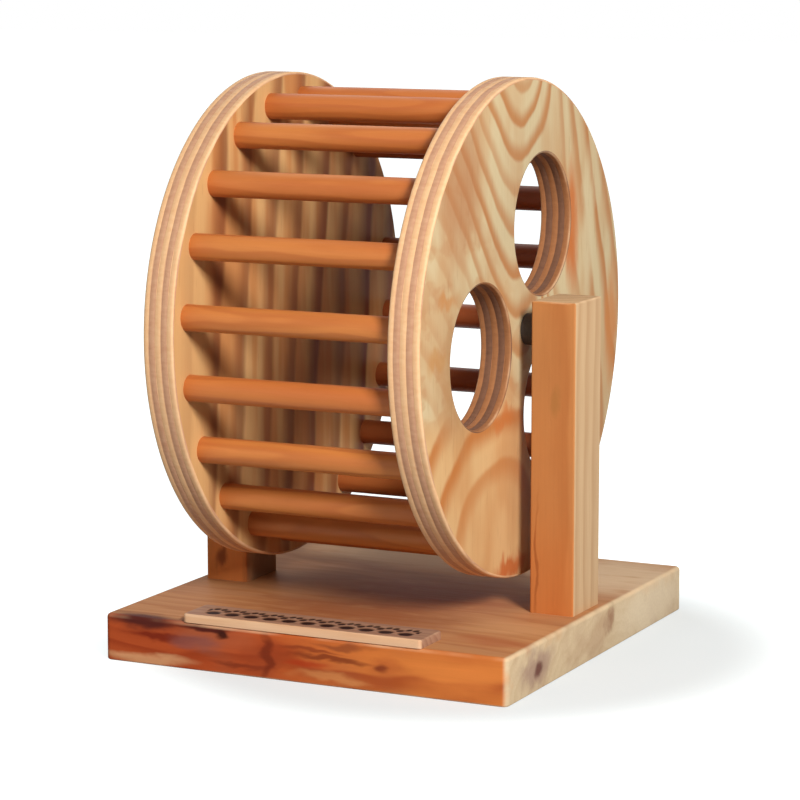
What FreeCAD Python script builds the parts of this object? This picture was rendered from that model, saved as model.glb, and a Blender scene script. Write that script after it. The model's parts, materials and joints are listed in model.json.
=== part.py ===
import FreeCAD, Part
import os

import Sketcher
from FreeCAD import Placement, Rotation, Vector

# A table-top exercise wheel for a small pet, all of wood: two plywood discs joined by twenty dowel
# rungs, hung on two short steel axles between a pair of posts that are screwed up from a board.
#
# Frame: +Z is up, the wheel's axle lies along X, and -Y is the front with the name plate. The
# origin is on the ground under the axle, halfway between the posts. Lengths are in millimetres.

SIZES = (
    # the board
    ("board_front", 84, "from the axle's line to the board's front edge"),
    ("board_back", 92, "from the axle's line to the board's back edge"),
    ("board_thickness", 18, "thickness of the board"),
    ("board_corner", 2.5, "radius of the board's corners seen from above"),
    ("board_top_round", 1.5, "rounding of the board's top edges"),
    ("board_foot_round", 0.8, "rounding of the board's bottom edges"),
    # the posts
    ("post_width", 18, "post across, along the axle"),
    ("post_depth", 25.5, "post from front to back"),
    ("post_inset", 4.3, "from a post's outer face to the board's side edge"),
    ("post_above_axle", 12.5, "post above the axle's middle"),
    ("post_round", 0.8, "rounding of a post's edges"),
    # the wheel
    ("disc_diameter", 190, "diameter of the discs"),
    ("disc_thickness", 12.7, "thickness of the plywood"),
    ("disc_round", 1, "rounding of the rim's edges"),
    ("wheel_opening", 87, "running width between the discs"),
    ("floor_gap", 11.8, "from the board up to the discs"),
    ("left_gap", 2.5, "from the left post to the left disc"),
    ("right_gap", 7.5, "from the right disc to the right post"),
    # the rungs
    ("rung_count", 20, "rungs round the wheel"),
    ("rung_diameter", 10, "diameter of the dowel"),
    ("rung_edge", 10.4, "from the rim to a rung's middle"),
    ("rung_start", 12.25, "angle of the first rung, from +Y towards +Z"),
    ("rung_socket", 6, "depth of a rung's socket in a disc"),
    ("rung_chamfer", 0.5, "bevel round a rung's ends"),
    # the windows in the right disc
    ("window_count", 3, "round windows in the right disc"),
    ("window_diameter", 54, "diameter of a window"),
    ("window_reach", 41.7, "from the axle to a window's middle"),
    ("window_start", 68, "angle of the first window, from +Y towards +Z"),
    ("window_round", 0.8, "rounding of a window's edges"),
    # the axles, their bushes and spacers
    ("axle_diameter", 6, "diameter of the steel axles"),
    ("axle_seat", 12, "depth of an axle's hole in its post"),
    ("axle_chamfer", 0.5, "bevel round an axle's ends"),
    ("bush_diameter", 10, "outer diameter of a bush"),
    ("bush_skin", 2.7, "plywood left between a bush and the running space"),
    ("spacer_diameter", 12, "outer diameter of a spacer"),
    ("running_clearance", 0.05, "between an axle and its bush, on the radius"),
    ("spacer_clearance", 0.1, "between an axle and its spacer, on the radius"),
    ("end_play", 0.25, "free space at each end of a spacer"),
    ("end_room", 0.5, "free space past the end of a rung, an axle or a screw"),
    ("glue_line", 0.03, "between a glued pin and its hole, on the radius"),
    # the screws
    ("screw_diameter", 3.5, "diameter of a screw's shank"),
    ("screw_head", 7, "diameter of a screw's countersunk head"),
    ("screw_rim", 0.4, "straight edge of a screw's head"),
    ("screw_length", 40, "length of a screw"),
    ("screw_tip", 4, "length of a screw's point"),
    ("screw_edge", 6.75, "from a post's front or back face to its nearer screw"),
    ("screw_sink", 0.5, "depth of a screw's head below the board's underside"),
    ("screw_clearance", 0.25, "between a screw and its hole in the board, on the radius"),
    ("slot_width", 0.9, "width of the cross slots in a screw's head"),
    ("slot_length", 3.6, "length of the cross slots"),
    ("slot_depth", 1.2, "depth of the cross slots"),
    # the name plate
    ("plate_length", 99, "plate from side to side"),
    ("plate_depth", 18, "plate from front to back"),
    ("plate_thickness", 3.2, "thickness of the plate"),
    ("plate_corner", 1.6, "radius of the plate's corners seen from above"),
    ("plate_round", 0.6, "rounding of the plate's top edges"),
)

doc = FreeCAD.newDocument("exercise_wheel")
sizes = doc.addObject("Spreadsheet::Sheet", "sizes")
for row, (alias, value, meaning) in enumerate(SIZES, start=1):
    sizes.set(f"A{row}", str(value))
    sizes.setAlias(f"A{row}", alias)
    sizes.set(f"B{row}", meaning)
doc.recompute()

# Places that more than one piece shares, worked out from the sizes.
AXLE_HEIGHT = "(sizes.board_thickness + sizes.floor_gap + sizes.disc_diameter / 2)"
HALF_SPAN = "((sizes.wheel_opening + 2 * sizes.disc_thickness + sizes.left_gap + sizes.right_gap) / 2)"
POST_MIDDLE = f"({HALF_SPAN} + sizes.post_width / 2)"
POST_HEIGHT = f"({AXLE_HEIGHT} - sizes.board_thickness + sizes.post_above_axle)"
LEFT_FACE = f"(-{HALF_SPAN} + sizes.left_gap + sizes.disc_thickness)"
RIGHT_FACE = f"({HALF_SPAN} - sizes.right_gap - sizes.disc_thickness)"
RUNG_REACH = "(sizes.disc_diameter / 2 - sizes.rung_edge)"
BUSH_DEPTH = "(sizes.disc_thickness - sizes.bush_skin)"
SCREW_SPACING = "(sizes.post_depth - 2 * sizes.screw_edge)"
SCREW_IN_POST = "(sizes.screw_length + sizes.screw_sink - sizes.board_thickness)"

TURNED_ROUND = Rotation(Vector(0, 0, 1), 180)
TOLERANCE = 1e-6

pieces = []


def new_piece(name, x="0", y="0", z="0", rotation=Rotation()):
    """Starts a piece as a body of its own, placed by expressions."""
    body = doc.addObject("PartDesign::Body", name)
    body.Label = name
    body.Placement = Placement(Vector(0, 0, 0), rotation)
    for axis, place in (("x", x), ("y", y), ("z", z)):
        body.setExpression(f"Placement.Base.{axis}", place)
    pieces.append(body)
    return body


def origin_feature(body, role):
    """Finds a plane or an axis of a body's own origin."""
    return next(feature for feature in body.Origin.OriginFeatures if feature.Role == role)


def new_sketch(body, name, role, offset=None, turn=None):
    """Starts a sketch on an origin plane, moved along its normal or turned about it."""
    sketch = body.newObject("Sketcher::SketchObject", name)
    sketch.AttachmentSupport = [(origin_feature(body, role), "")]
    sketch.MapMode = "FlatFace"
    sketch.AttachmentOffset = Placement(Vector(0, 0, 0), Rotation(Vector(0, 0, 1), 1 if turn else 0))
    if offset:
        sketch.setExpression("AttachmentOffset.Base.z", offset)
    if turn:
        sketch.setExpression("AttachmentOffset.Rotation.Angle", turn)
    return sketch


def size_constraint(sketch, size, *constraint):
    """Adds a constraint whose value follows an expression."""
    value = float(sketch.evalExpression(size))
    index = sketch.addConstraint(Sketcher.Constraint(*constraint, value))
    sketch.setExpression(f"Constraints[{index}]", size)


def add_circle(sketch, diameter, start=Vector(0, 0, 0)):
    """Adds a circle and ties its diameter; its middle is still free."""
    circle = sketch.addGeometry(Part.Circle(start, Vector(0, 0, 1), 1), False)
    size_constraint(sketch, diameter, "Diameter", circle)
    return circle


def centre_circle(sketch, diameter):
    """Adds a circle about the sketch's origin."""
    circle = add_circle(sketch, diameter)
    sketch.addConstraint(Sketcher.Constraint("Coincident", circle, 3, -1, 1))


def reach_circle(sketch, diameter, reach):
    """Adds a circle whose middle lies on the sketch's X axis."""
    circle = add_circle(sketch, diameter, Vector(10, 0, 0))
    sketch.addConstraint(Sketcher.Constraint("PointOnObject", circle, 3, -1))
    size_constraint(sketch, reach, "DistanceX", -1, 1, circle, 3)


def add_outline(sketch, points):
    """Joins points into a closed outline and returns the first line's number."""
    first = sketch.GeometryCount
    corners = [Vector(x, y, 0) for x, y in points]
    for start, end in zip(corners, corners[1:] + corners[:1]):
        sketch.addGeometry(Part.LineSegment(start, end), False)
    count = len(corners)
    for number in range(count):
        following = first + (number + 1) % count
        sketch.addConstraint(Sketcher.Constraint("Coincident", first + number, 2, following, 1))
    return first


def add_rectangle(sketch, width, depth_front, depth_back):
    """Adds a rectangle that is even about the Y axis, with its own front and back depths."""
    bottom = add_outline(sketch, ((-9, -9), (9, -9), (9, 9), (-9, 9)))
    right, top, left = bottom + 1, bottom + 2, bottom + 3
    for line, direction in ((right, "Vertical"), (left, "Vertical"), (top, "Horizontal")):
        sketch.addConstraint(Sketcher.Constraint(direction, line))
    sketch.addConstraint(Sketcher.Constraint("Symmetric", bottom, 1, bottom, 2, -2))
    size_constraint(sketch, width, "DistanceX", bottom, 1, bottom, 2)
    size_constraint(sketch, depth_front, "DistanceY", bottom, 1, -1, 1)
    size_constraint(sketch, depth_back, "DistanceY", -1, 1, top, 1)


def pad(body, sketch, name, length, reverse=False, both_ways=False):
    """Raises a sketch into a solid."""
    feature = body.newObject("PartDesign::Pad", name)
    feature.Profile = sketch
    feature.setExpression("Length", length)
    feature.Reversed = reverse
    feature.Midplane = both_ways
    doc.recompute()
    return feature


def pocket(body, sketch, name, depth, forwards):
    """Cuts a sketch into the solid, along the sketch's normal or against it."""
    before = body.Shape.Volume
    feature = body.newObject("PartDesign::Pocket", name)
    feature.Profile = sketch
    feature.setExpression("Length", depth)
    feature.Reversed = forwards
    doc.recompute()
    if body.Shape.Volume > before - TOLERANCE:
        raise RuntimeError(f"{body.Label}: {name} cuts nothing")
    return feature


def polar_pattern(body, feature, name, axis_role, count, angle=360):
    """Repeats a feature round an axis of its body."""
    pattern = body.newObject("PartDesign::PolarPattern", name)
    pattern.Originals = [feature]
    pattern.Axis = (origin_feature(body, axis_role), [""])
    pattern.Angle = angle
    pattern.setExpression("Occurrences", count)
    body.Tip = pattern
    doc.recompute()
    return pattern


def edges_of(feature, wanted):
    """Names the edges of a feature that pass a test."""
    edges = enumerate(feature.Shape.Edges, start=1)
    return [f"Edge{number}" for number, edge in edges if wanted(edge)]


def soften(body, base, name, kind, size, wanted):
    """Rounds or bevels the edges of the last feature that pass a test."""
    feature = body.newObject(f"PartDesign::{kind}", name)
    feature.Base = (base, edges_of(base, wanted))
    feature.setExpression("Radius" if kind == "Fillet" else "Size", size)
    doc.recompute()
    return feature


def upright(edge):
    """Tells an edge that runs straight up."""
    low, high = edge.BoundBox.ZMin, edge.BoundBox.ZMax
    return high - low > edge.Length - TOLERANCE


def at_level(level):
    """Makes a test for edges that lie wholly at one height of their body."""
    return lambda edge: (abs(edge.BoundBox.ZMin - level) < TOLERANCE
                         and abs(edge.BoundBox.ZMax - level) < TOLERANCE)


def round_edge(radius):
    """Makes a test for whole circles of one radius."""
    return lambda edge: (isinstance(edge.Curve, Part.Circle)
                         and abs(edge.Curve.Radius - radius) < TOLERANCE)


def make_board():
    """The board: solid softwood, its corners and edges softened, countersunk from below."""
    body = new_piece("base_board")
    outline = new_sketch(body, "board_outline", "XY_Plane")
    width = f"2 * ({HALF_SPAN} + sizes.post_width + sizes.post_inset)"
    add_rectangle(outline, width, "sizes.board_front", "sizes.board_back")
    slab = pad(body, outline, "board_slab", "sizes.board_thickness")
    corners = soften(body, slab, "board_corners", "Fillet", "sizes.board_corner", upright)
    top_rim = soften(body, corners, "board_top_rim", "Fillet", "sizes.board_top_round",
                     at_level(sizes.board_thickness))
    soften(body, top_rim, "board_foot_rim", "Fillet", "sizes.board_foot_round", at_level(0))
    holes = new_sketch(body, "screw_holes", "XY_Plane")
    hole = "sizes.screw_diameter + 2 * sizes.screw_clearance"
    circles = [add_circle(holes, hole, Vector(x, y, 0)) for x in (60, -60) for y in (5, -5)]
    back_right, front_right, back_left, front_left = circles
    for one, other, axis in ((back_right, back_left, -2), (front_right, front_left, -2),
                             (back_right, front_right, -1)):
        holes.addConstraint(Sketcher.Constraint("Symmetric", one, 3, other, 3, axis))
    size_constraint(holes, POST_MIDDLE, "DistanceX", -1, 1, back_right, 3)
    size_constraint(holes, f"{SCREW_SPACING} / 2", "DistanceY", -1, 1, back_right, 3)
    drilled = pocket(body, holes, "screw_drilling", "sizes.board_thickness", forwards=True)
    mouth_radius = sizes.screw_diameter / 2 + sizes.screw_clearance
    soften(body, drilled, "countersinks", "Chamfer",
           "sizes.screw_head / 2 - sizes.screw_diameter / 2 + sizes.screw_rim + sizes.screw_sink",
           lambda edge: round_edge(mouth_radius)(edge) and at_level(0)(edge))


def make_post(name, side):
    """A post: a planed batten, with a blind hole for the axle and pilot holes below."""
    rotation = Rotation() if side > 0 else TURNED_ROUND
    body = new_piece(name, x=f"{side} * {POST_MIDDLE}", z="sizes.board_thickness", rotation=rotation)
    outline = new_sketch(body, f"{name}_outline", "XY_Plane")
    add_rectangle(outline, "sizes.post_width", "sizes.post_depth / 2", "sizes.post_depth / 2")
    batten = pad(body, outline, f"{name}_batten", POST_HEIGHT)
    top = batten.Shape.BoundBox.ZMax
    soften(body, batten, f"{name}_edges", "Fillet", "sizes.post_round",
           lambda edge: upright(edge) or at_level(top)(edge))
    bore = new_sketch(body, f"{name}_bore", "YZ_Plane", offset="-sizes.post_width / 2")
    circle = add_circle(bore, "sizes.axle_diameter + 2 * sizes.glue_line", Vector(0, 100, 0))
    bore.addConstraint(Sketcher.Constraint("PointOnObject", circle, 3, -2))
    size_constraint(bore, f"{AXLE_HEIGHT} - sizes.board_thickness", "DistanceY", -1, 1, circle, 3)
    pocket(body, bore, f"{name}_axle_hole", "sizes.axle_seat", forwards=True)
    pilots = new_sketch(body, f"{name}_pilots", "XY_Plane")
    pilot = "sizes.screw_diameter + 2 * sizes.glue_line"
    front, back = (add_circle(pilots, pilot, Vector(0, y, 0)) for y in (-5, 5))
    pilots.addConstraint(Sketcher.Constraint("PointOnObject", front, 3, -2))
    pilots.addConstraint(Sketcher.Constraint("Symmetric", front, 3, back, 3, -1))
    size_constraint(pilots, SCREW_SPACING, "DistanceY", front, 3, back, 3)
    pocket(body, pilots, f"{name}_pilot_holes", f"{SCREW_IN_POST} + sizes.end_room", forwards=True)


def make_disc(name, side, inner_face, windows):
    """A disc: plywood, with blind sockets for the rungs inside and a blind seat for its bush."""
    outwards = side > 0
    body = new_piece(name, x=inner_face, z=AXLE_HEIGHT)
    outline = new_sketch(body, f"{name}_outline", "YZ_Plane")
    centre_circle(outline, "sizes.disc_diameter")
    round_blank = pad(body, outline, f"{name}_blank", "sizes.disc_thickness", reverse=not outwards)
    soften(body, round_blank, f"{name}_rims", "Fillet", "sizes.disc_round",
           round_edge(sizes.disc_diameter / 2))
    seat = new_sketch(body, f"{name}_seat", "YZ_Plane", offset=f"{side} * sizes.bush_skin")
    centre_circle(seat, "sizes.bush_diameter + 2 * sizes.glue_line")
    pocket(body, seat, f"{name}_bush_seat", BUSH_DEPTH, forwards=outwards)
    socket = new_sketch(body, f"{name}_socket", "YZ_Plane", turn="sizes.rung_start")
    reach_circle(socket, "sizes.rung_diameter + 2 * sizes.glue_line", RUNG_REACH)
    first = pocket(body, socket, f"{name}_first_socket", "sizes.rung_socket", forwards=outwards)
    polar_pattern(body, first, f"{name}_sockets", "X_Axis", "sizes.rung_count")
    if windows:
        window = new_sketch(body, f"{name}_window", "YZ_Plane", turn="sizes.window_start")
        reach_circle(window, "sizes.window_diameter", "sizes.window_reach")
        first = pocket(body, window, f"{name}_first_window", "sizes.disc_thickness", forwards=outwards)
        cut = polar_pattern(body, first, f"{name}_windows", "X_Axis", "sizes.window_count")
        soften(body, cut, f"{name}_window_edges", "Fillet", "sizes.window_round",
               round_edge(sizes.window_diameter / 2))


def make_rung(number):
    """A rung: a length of dowel, glued into a socket in each disc."""
    angle = f"(sizes.rung_start + {number} * 360 / sizes.rung_count)"
    body = new_piece(f"rung_{number + 1:02d}", x=f"({LEFT_FACE} + {RIGHT_FACE}) / 2",
                     y=f"{RUNG_REACH} * cos({angle})",
                     z=f"{AXLE_HEIGHT} + {RUNG_REACH} * sin({angle})")
    outline = new_sketch(body, f"rung_{number + 1:02d}_outline", "YZ_Plane")
    centre_circle(outline, "sizes.rung_diameter")
    dowel = pad(body, outline, f"rung_{number + 1:02d}_dowel",
                "sizes.wheel_opening + 2 * sizes.rung_socket - 2 * sizes.end_room", both_ways=True)
    soften(body, dowel, f"rung_{number + 1:02d}_ends", "Chamfer", "sizes.rung_chamfer",
           round_edge(sizes.rung_diameter / 2))


def make_axle_set(hand, side, gap):
    """An axle glued into its post, the bush in its disc and the loose spacer between them."""
    face = f"{side} * {HALF_SPAN}"
    rotation = Rotation() if side > 0 else TURNED_ROUND
    axle = new_piece(f"axle_{hand}", x=f"{face} + {side} * (sizes.axle_seat - sizes.end_room)",
                     z=AXLE_HEIGHT, rotation=rotation)
    outline = new_sketch(axle, f"axle_{hand}_outline", "YZ_Plane")
    centre_circle(outline, "sizes.axle_diameter")
    rod = pad(axle, outline, f"axle_{hand}_rod",
              f"sizes.axle_seat + {gap} + {BUSH_DEPTH} - 2 * sizes.end_room", reverse=True)
    soften(axle, rod, f"axle_{hand}_ends", "Chamfer", "sizes.axle_chamfer",
           round_edge(sizes.axle_diameter / 2))

    bush = new_piece(f"bush_{hand}", x=f"{face} - {side} * {gap}", z=AXLE_HEIGHT, rotation=rotation)
    ring = new_sketch(bush, f"bush_{hand}_ring", "YZ_Plane")
    centre_circle(ring, "sizes.bush_diameter")
    centre_circle(ring, "sizes.axle_diameter + 2 * sizes.running_clearance")
    pad(bush, ring, f"bush_{hand}_tube", BUSH_DEPTH, reverse=True)

    spacer = new_piece(f"spacer_{hand}", x=f"{face} - {side} * sizes.end_play", z=AXLE_HEIGHT,
                       rotation=rotation)
    ring = new_sketch(spacer, f"spacer_{hand}_ring", "YZ_Plane")
    centre_circle(ring, "sizes.spacer_diameter")
    centre_circle(ring, "sizes.axle_diameter + 2 * sizes.spacer_clearance")
    pad(spacer, ring, f"spacer_{hand}_tube", f"{gap} - 2 * sizes.end_play", reverse=True)


def make_screw(name, side, row):
    """A countersunk wood screw, driven up through the board into a post."""
    body = new_piece(name, x=f"{side} * {POST_MIDDLE}", y=f"{row} * {SCREW_SPACING} / 2",
                     z="sizes.screw_sink")
    profile = new_sketch(body, f"{name}_profile", "XZ_Plane")
    bottom = add_outline(profile, ((0, 0), (3, 0), (3, 1), (2, 3), (2, 20), (0, 25)))
    rim, cone, shank, point, core = range(bottom + 1, bottom + 6)
    profile.addConstraint(Sketcher.Constraint("Coincident", bottom, 1, -1, 1))
    profile.addConstraint(Sketcher.Constraint("Horizontal", bottom))
    for line in (rim, shank, core):
        profile.addConstraint(Sketcher.Constraint("Vertical", line))
    size_constraint(profile, "sizes.screw_head / 2", "DistanceX", bottom, 1, bottom, 2)
    size_constraint(profile, "sizes.screw_rim", "DistanceY", rim, 1, rim, 2)
    size_constraint(profile, "(sizes.screw_head - sizes.screw_diameter) / 2", "DistanceY",
                    cone, 1, cone, 2)
    size_constraint(profile, "sizes.screw_diameter / 2", "DistanceX", -1, 1, shank, 1)
    size_constraint(profile, "sizes.screw_length", "DistanceY", -1, 1, point, 2)
    size_constraint(profile, "sizes.screw_tip", "DistanceY", point, 1, point, 2)
    turned = body.newObject("PartDesign::Revolution", f"{name}_turned")
    turned.Profile = profile
    turned.ReferenceAxis = (origin_feature(body, "Z_Axis"), [""])
    turned.Angle = 360
    doc.recompute()
    slot = new_sketch(body, f"{name}_slot", "XY_Plane")
    add_rectangle(slot, "sizes.slot_length", "sizes.slot_width / 2", "sizes.slot_width / 2")
    first = pocket(body, slot, f"{name}_first_slot", "sizes.slot_depth", forwards=True)
    polar_pattern(body, first, f"{name}_cross", "Z_Axis", "2", angle=180)


def make_plate():
    """The name plate: a thin slip of wood glued on flush with the board's front edge."""
    body = new_piece("name_plate", y="-sizes.board_front", z="sizes.board_thickness")
    outline = new_sketch(body, "plate_outline", "XY_Plane")
    add_rectangle(outline, "sizes.plate_length", "0", "sizes.plate_depth")
    slip = pad(body, outline, "plate_slip", "sizes.plate_thickness")
    corners = soften(body, slip, "plate_corners", "Fillet", "sizes.plate_corner", upright)
    soften(body, corners, "plate_rims", "Fillet", "sizes.plate_round",
           at_level(sizes.plate_thickness))


make_board()
make_post("post_left", -1)
make_post("post_right", 1)
make_disc("disc_left", -1, LEFT_FACE, windows=False)
make_disc("disc_right", 1, RIGHT_FACE, windows=True)
for rung in range(int(sizes.rung_count)):
    make_rung(rung)
make_axle_set("left", -1, "sizes.left_gap")
make_axle_set("right", 1, "sizes.right_gap")
for hand, side in (("left", -1), ("right", 1)):
    for place, row in (("front", -1), ("back", 1)):
        make_screw(f"screw_{hand}_{place}", side, row)
make_plate()
doc.recompute()

for item in doc.Objects:
    if "Invalid" in item.State or "Error" in item.State:
        raise RuntimeError(f"{item.Label} failed: {item.State}")
for piece in pieces:
    if piece.Shape.isNull() or not piece.Shape.isValid() or len(piece.Shape.Solids) != 1:
        raise RuntimeError(f"{piece.Label} is not one sound solid")

os.makedirs("parts", exist_ok=True)
for piece in pieces:
    piece.Shape.exportStep(f"parts/{piece.Label}.step")
    box = piece.Shape.optimalBoundingBox(False, False)
    print(f"{piece.Label}: {piece.Shape.Volume:.1f} mm3,"
          f" x {box.XMin:.2f} to {box.XMax:.2f},"
          f" y {box.YMin:.2f} to {box.YMax:.2f},"
          f" z {box.ZMin:.2f} to {box.ZMax:.2f}")
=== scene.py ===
import json
import math
import random

import bmesh
import bpy
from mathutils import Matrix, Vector


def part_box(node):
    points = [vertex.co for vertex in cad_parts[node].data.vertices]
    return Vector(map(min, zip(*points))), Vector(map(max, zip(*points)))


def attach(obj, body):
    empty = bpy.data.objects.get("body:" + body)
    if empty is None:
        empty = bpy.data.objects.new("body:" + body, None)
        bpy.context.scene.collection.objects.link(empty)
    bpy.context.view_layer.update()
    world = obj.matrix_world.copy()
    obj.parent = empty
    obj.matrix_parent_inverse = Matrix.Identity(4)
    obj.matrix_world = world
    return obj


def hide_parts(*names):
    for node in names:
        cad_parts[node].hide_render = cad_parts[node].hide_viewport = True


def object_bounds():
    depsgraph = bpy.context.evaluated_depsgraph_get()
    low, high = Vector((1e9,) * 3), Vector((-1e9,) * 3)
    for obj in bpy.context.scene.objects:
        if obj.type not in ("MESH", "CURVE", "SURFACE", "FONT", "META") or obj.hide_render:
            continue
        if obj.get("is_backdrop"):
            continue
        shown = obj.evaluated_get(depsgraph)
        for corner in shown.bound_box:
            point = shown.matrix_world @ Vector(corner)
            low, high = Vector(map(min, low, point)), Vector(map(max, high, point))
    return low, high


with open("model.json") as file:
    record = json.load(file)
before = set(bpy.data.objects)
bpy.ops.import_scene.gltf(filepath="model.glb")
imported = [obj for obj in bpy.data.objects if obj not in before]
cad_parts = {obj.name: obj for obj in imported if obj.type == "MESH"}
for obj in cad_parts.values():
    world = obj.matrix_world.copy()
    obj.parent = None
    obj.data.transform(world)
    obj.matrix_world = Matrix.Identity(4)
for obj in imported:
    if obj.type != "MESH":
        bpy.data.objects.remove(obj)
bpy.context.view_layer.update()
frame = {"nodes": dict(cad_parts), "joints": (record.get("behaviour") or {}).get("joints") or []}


# ---- The board ---------------------------------------------------------------------------------
# A solid softwood board, planed and oiled, with knots and dark streaks in its front edge and one
# knot in its right end. Its corners and edges are softened by hand. The posts stand on it.

MM = 0.001
BOARD_CORNER = 2.5
BOARD_TOP_ROUND = 1.5
BOARD_FOOT_ROUND = 0.8
ROUND_STEPS = 4
CORNER_STEPS = 8
SMALLEST_CORNER = 0.01
SHARP_EDGE = 40


def paint(red, green, blue):
    """Turns a colour as the eye sees it, 0 to 255, into the light that a shader takes."""
    levels = [level / 255 for level in (red, green, blue)]
    light = [v / 12.92 if v <= 0.04045 else ((v + 0.055) / 1.055) ** 2.4 for v in levels]
    return (*light, 1)


def feed(tree, socket, value):
    """Links a socket to another socket, or sets it to a plain value."""
    if isinstance(value, bpy.types.NodeSocket):
        tree.links.new(value, socket)
    else:
        socket.default_value = value


def work_out(tree, operation, *values):
    """One step of arithmetic on numbers that vary over the wood."""
    node = tree.nodes.new("ShaderNodeMath")
    node.operation = operation
    for socket, value in zip(node.inputs, values):
        feed(tree, socket, value)
    return node.outputs[0]


def work_out_vector(tree, operation, *values):
    """One step of arithmetic on places."""
    node = tree.nodes.new("ShaderNodeVectorMath")
    node.operation = operation
    for socket, value in zip(node.inputs, values):
        feed(tree, socket, value)
    return node.outputs["Value" if operation == "LENGTH" else "Vector"]


def ease(tree, value, start, end):
    """Rises smoothly from 0 to 1 as the value goes from start to end."""
    node = tree.nodes.new("ShaderNodeMapRange")
    node.interpolation_type = "SMOOTHSTEP"
    feed(tree, node.inputs["Value"], value)
    feed(tree, node.inputs["From Min"], start)
    feed(tree, node.inputs["From Max"], end)
    return node.outputs["Result"]


def blend(tree, share, first, second):
    """Mixes two colours."""
    node = tree.nodes.new("ShaderNodeMix")
    node.data_type = "RGBA"
    factor, one, other = node.inputs[0], node.inputs[6], node.inputs[7]
    for socket, value in ((factor, share), (one, first), (other, second)):
        feed(tree, socket, value)
    return node.outputs[2]


def tint(tree, colour, mask, strength, tone):
    """Lays another tone over a colour where a mask says, as strongly as is given."""
    return blend(tree, work_out(tree, "MULTIPLY", mask, strength), colour, paint(*tone))


def mottle(tree, place, stretch, detail=2.0):
    """Cloudy noise, finer along each axis as its stretch goes up. Places are in millimetres."""
    scaled = work_out_vector(tree, "MULTIPLY", place, stretch)
    node = tree.nodes.new("ShaderNodeTexNoise")
    feed(tree, node.inputs["Vector"], scaled)
    node.inputs["Scale"].default_value = 1
    node.inputs["Detail"].default_value = detail
    return node.outputs[0]


def sway(tree, place, stretch, detail=2.0):
    """The same noise about zero, for what wanders to either side."""
    return work_out(tree, "SUBTRACT", mottle(tree, place, stretch, detail), 0.5)


def new_group(name, inputs, outputs):
    """Starts a shader node group with named inputs and outputs."""
    group = bpy.data.node_groups.new(name, "ShaderNodeTree")
    for label, value in inputs.items():
        kind = "NodeSocketVector" if isinstance(value, tuple) else "NodeSocketFloat"
        group.interface.new_socket(label, in_out="INPUT", socket_type=kind).default_value = value
    for label in outputs:
        group.interface.new_socket(label, in_out="OUTPUT", socket_type="NodeSocketFloat")
    given = group.nodes.new("NodeGroupInput").outputs
    wanted = group.nodes.new("NodeGroupOutput").inputs
    return group, given, wanted


def use_group(tree, group, values):
    """Places a group in a material with its own values."""
    node = tree.nodes.new("ShaderNodeGroup")
    node.node_tree = group
    for label, value in values.items():
        feed(tree, node.inputs[label], value)
    return node.outputs


# Growth rings round the tree's heart, for wood whose grain runs along X.
growth_rings, given, wanted = new_group(
    "growth_rings",
    {"Place": (0.0, 0.0, 0.0), "Heart": (0.0, 0.0, 0.0), "Ring Width": 4.0, "Wander": 6.0},
    ("Latewood", "Tone"))
tree = growth_rings
wander = sway(tree, given["Place"], (0.012, 0.05, 0.05))
from_heart = work_out_vector(tree, "SUBTRACT", given["Place"], given["Heart"])
across = work_out_vector(tree, "MULTIPLY", from_heart, (0, 1, 1))
reach = work_out_vector(tree, "LENGTH", across)
reach = work_out(tree, "ADD", reach, work_out(tree, "MULTIPLY", wander, given["Wander"]))
ring = work_out(tree, "DIVIDE", reach, given["Ring Width"])
part_way = work_out(tree, "FRACT", ring)
rise = ease(tree, part_way, 0.2, 0.82)
fall = ease(tree, part_way, 1.0, 0.82)
tree.links.new(work_out(tree, "MULTIPLY", rise, fall), wanted["Latewood"])
chance = tree.nodes.new("ShaderNodeTexWhiteNoise")
chance.noise_dimensions = "1D"
feed(tree, chance.inputs["W"], work_out(tree, "FLOOR", ring))
tree.links.new(chance.outputs["Value"], wanted["Tone"])

# Fine fibres and short dark flecks that run along X.
wood_fibres, given, wanted = new_group(
    "wood_fibres", {"Place": (0.0, 0.0, 0.0), "Fineness": 1.0}, ("Fibre", "Fleck"))
tree = wood_fibres
place = work_out_vector(tree, "SCALE", given["Place"])
feed(tree, place.node.inputs["Scale"], given["Fineness"])
tree.links.new(mottle(tree, place, (0.06, 1.6, 1.6), 4.0), wanted["Fibre"])
flecks = mottle(tree, place, (0.1, 0.9, 0.9), 2.0)
tree.links.new(ease(tree, flecks, 0.62, 0.72), wanted["Fleck"])

# A knot, stain or streak: a ragged patch about one middle.
wood_patch, given, wanted = new_group(
    "wood_patch",
    {"Place": (0.0, 0.0, 0.0), "Middle": (0.0, 0.0, 0.0), "Reach": (5.0, 5.0, 5.0), "Ragged": 0.5},
    ("Mask",))
tree = wood_patch
swirl = mottle(tree, given["Place"], (0.05, 0.13, 0.13), 3.0).node.outputs["Color"]
swirl = work_out_vector(tree, "SUBTRACT", swirl, (0.5, 0.5, 0.5))
swirl = work_out_vector(tree, "MULTIPLY", swirl, (26, 13, 13))
swirl = work_out_vector(tree, "SCALE", swirl)
feed(tree, swirl.node.inputs["Scale"], given["Ragged"])
away = work_out_vector(tree, "SUBTRACT", given["Place"], given["Middle"])
away = work_out_vector(tree, "ADD", away, swirl)
away = work_out_vector(tree, "DIVIDE", away, given["Reach"])
away = work_out_vector(tree, "LENGTH", away)
tree.links.new(ease(tree, away, 1.25, 0.35), wanted["Mask"])

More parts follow.
